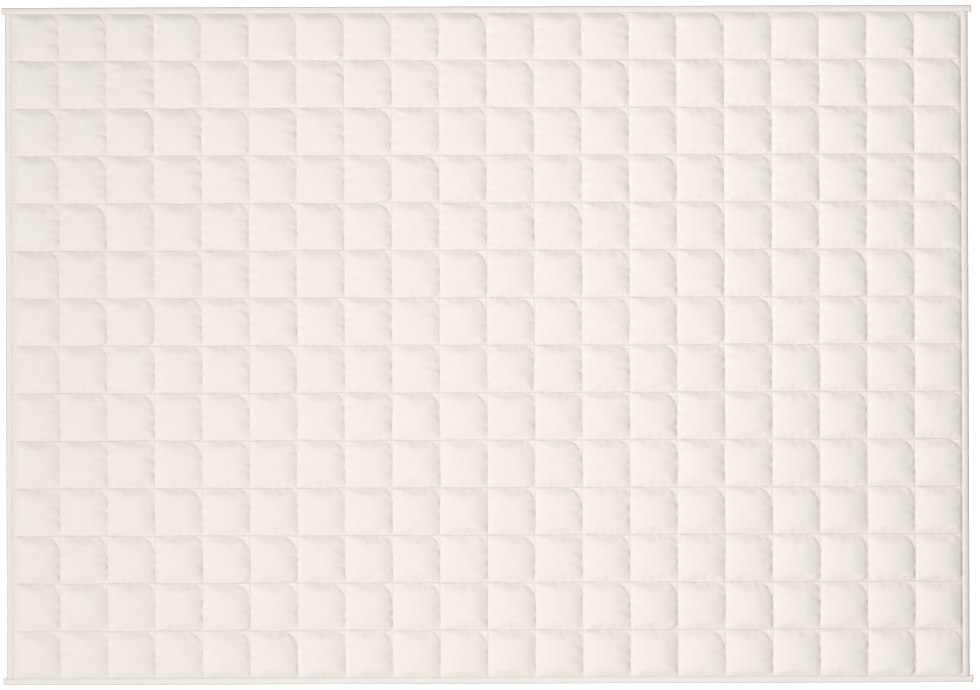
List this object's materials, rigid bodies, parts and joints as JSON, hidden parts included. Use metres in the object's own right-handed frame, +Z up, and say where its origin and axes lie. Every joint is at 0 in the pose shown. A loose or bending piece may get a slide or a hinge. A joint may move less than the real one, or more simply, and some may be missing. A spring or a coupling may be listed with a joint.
{
  "type": "weighted blanket",
  "caption": "Weighted blanket lying flat: cotton cloth quilted into a grid of square filled pockets, bound along its edges with folded tape.",
  "frame": {"origin": "middle of the blanket in plan, on the surface that it lies on", "axes": "+X along the blanket's length, +Y across its width towards the head tape, +Z up through its thickness"},
  "size_m": [2.0148, 1.408, 0.0184],
  "materials": {
    "quilted_cotton": "fine plain-weave cotton, matt, warm off-white",
    "binding_tape": "folded cotton tape, matt, warm off-white"
  },
  "bodies": {
    "root": {"quilted_panel": "quilted_cotton", "binding_head": "binding_tape", "binding_foot": "binding_tape", "binding_right": "binding_tape", "binding_left": "binding_tape"}
  },
  "joints": []
}
